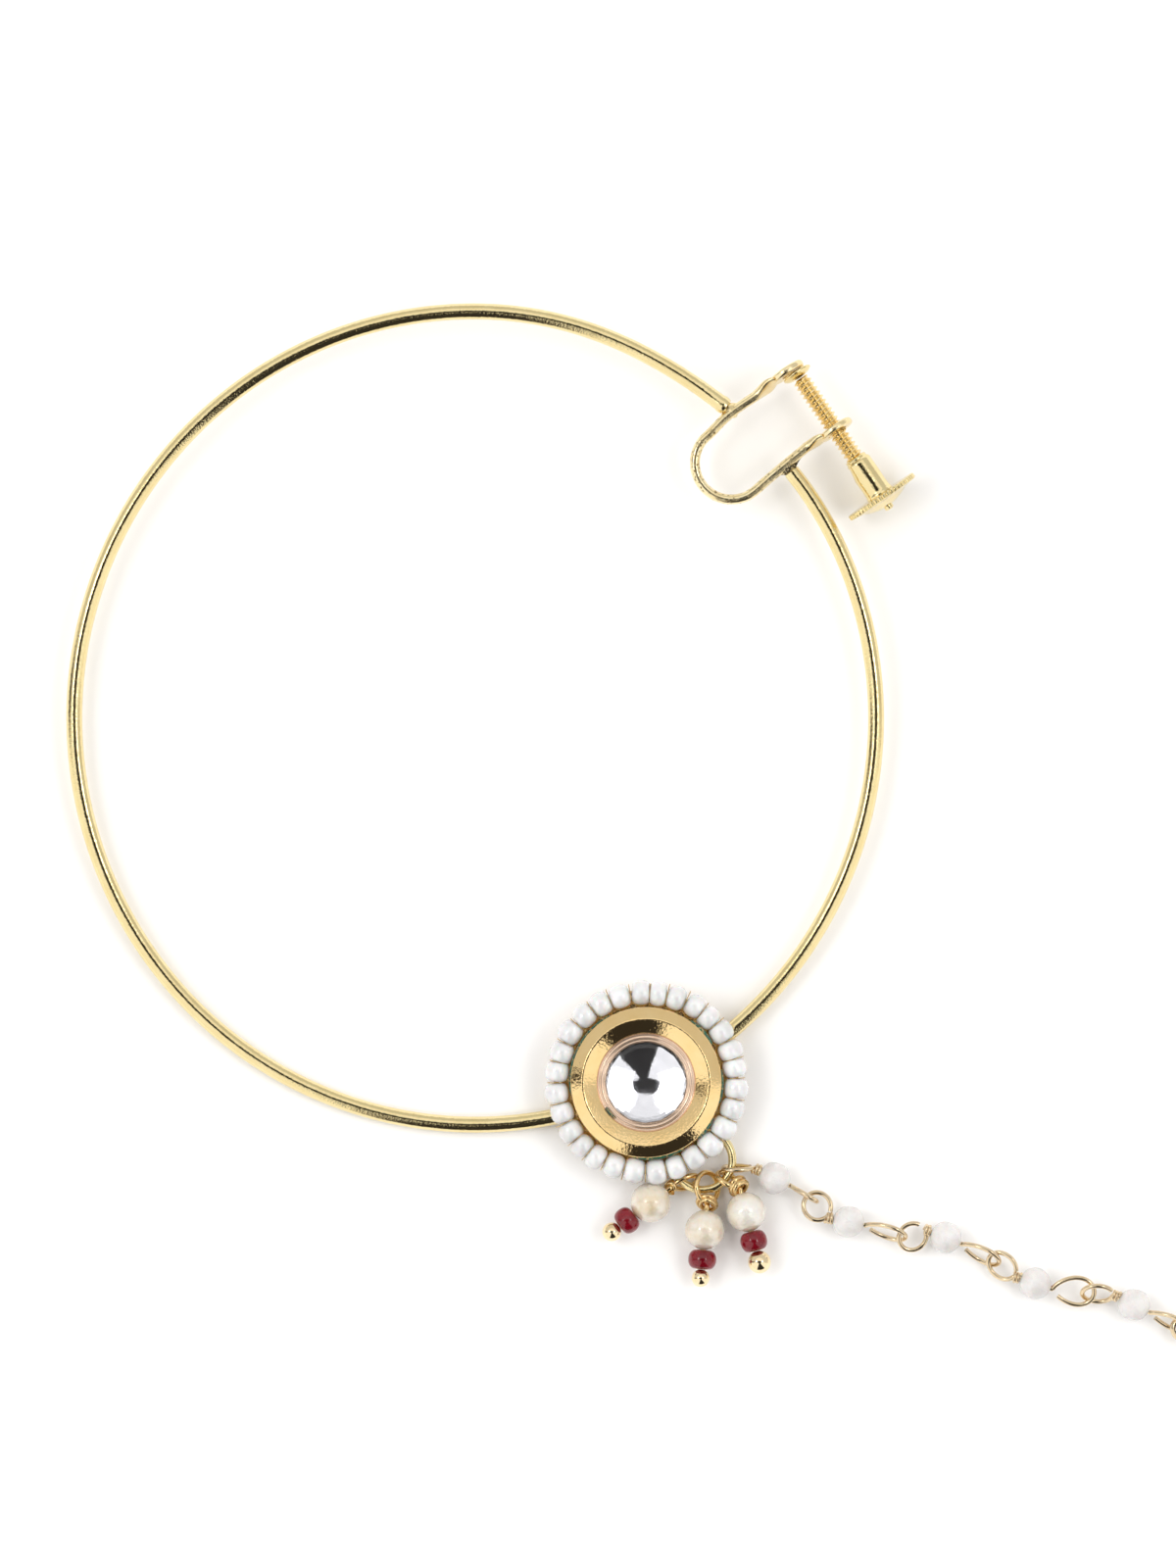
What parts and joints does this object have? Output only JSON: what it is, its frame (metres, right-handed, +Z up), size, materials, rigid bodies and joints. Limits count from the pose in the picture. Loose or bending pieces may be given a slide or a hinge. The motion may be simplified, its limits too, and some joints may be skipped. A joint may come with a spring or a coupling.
{
  "type": "nose hoop with screw clip",
  "caption": "Large round nose hoop with a screw clip, a round stone setting ringed with seed beads, short pearl drops and a pearl chain ending in a hair hook.",
  "frame": {"origin": "on the surface that the jewel lies on, under the middle of its bounding box", "axes": "+Z up out of the surface, +X along the picture's width from the hoop towards the chain's free end, +Y along the picture's height towards the top of the hoop"},
  "size_m": [0.0928, 0.0798, 0.0058],
  "materials": {
    "pale_gold": "pale yellow gold plate, high polish",
    "wire_gold": "deeper orange-gold wire, polished",
    "chain_gold": "pale gold fine wire, polished",
    "seed_pearl": "milky white glass with a soft lustre",
    "drop_pearl": "cream pearl lustre",
    "chain_pearl": "pinkish white pearl lustre, slightly uneven",
    "ruby_glass": "translucent ruby red glass",
    "clear_stone": "clear faceted glass over a silvered foil"
  },
  "bodies": {
    "jewel": {"hoop": "pale_gold", "setting_stone": "clear_stone", "seed_bead_ring": "seed_pearl", "drop_1_pearl": "drop_pearl", "drop_1_bead": "ruby_glass", "drop_1_pin": "wire_gold", "drop_2_pearl": "drop_pearl", "drop_2_bead": "ruby_glass", "drop_2_pin": "wire_gold", "drop_3_pearl": "drop_pearl", "drop_3_bead": "ruby_glass", "drop_3_pin": "wire_gold", "chain_1_pearl": "chain_pearl", "chain_1_link": "chain_gold", "chain_2_pearl": "chain_pearl", "chain_2_link": "chain_gold", "chain_3_pearl": "chain_pearl", "chain_3_link": "chain_gold", "chain_4_pearl": "chain_pearl", "chain_4_link": "chain_gold", "chain_5_pearl": "chain_pearl", "chain_5_link": "chain_gold", "chain_hook": "chain_gold"},
    "pad": {"clip_pad": "pale_gold"},
    "screw": {"clip_screw": "pale_gold"}
  },
  "joints": [
    {"name": "pad_travel", "type": "slide", "parent": "jewel", "child": "pad", "axis": [0.568, -0.8225, -0.0306], "range_m": [0, 0.004]},
    {"name": "screw_turn", "type": "hinge", "parent": "pad", "child": "screw", "pos_m": [0.01054, 0.03052, 0.00309], "axis": [0.568, -0.8225, -0.0306], "range_deg": [0, 3790]}
  ],
  "couplings": [
    {"joint": "screw_turn", "follows": "pad_travel", "rad_per_m": 16535}
  ]
}
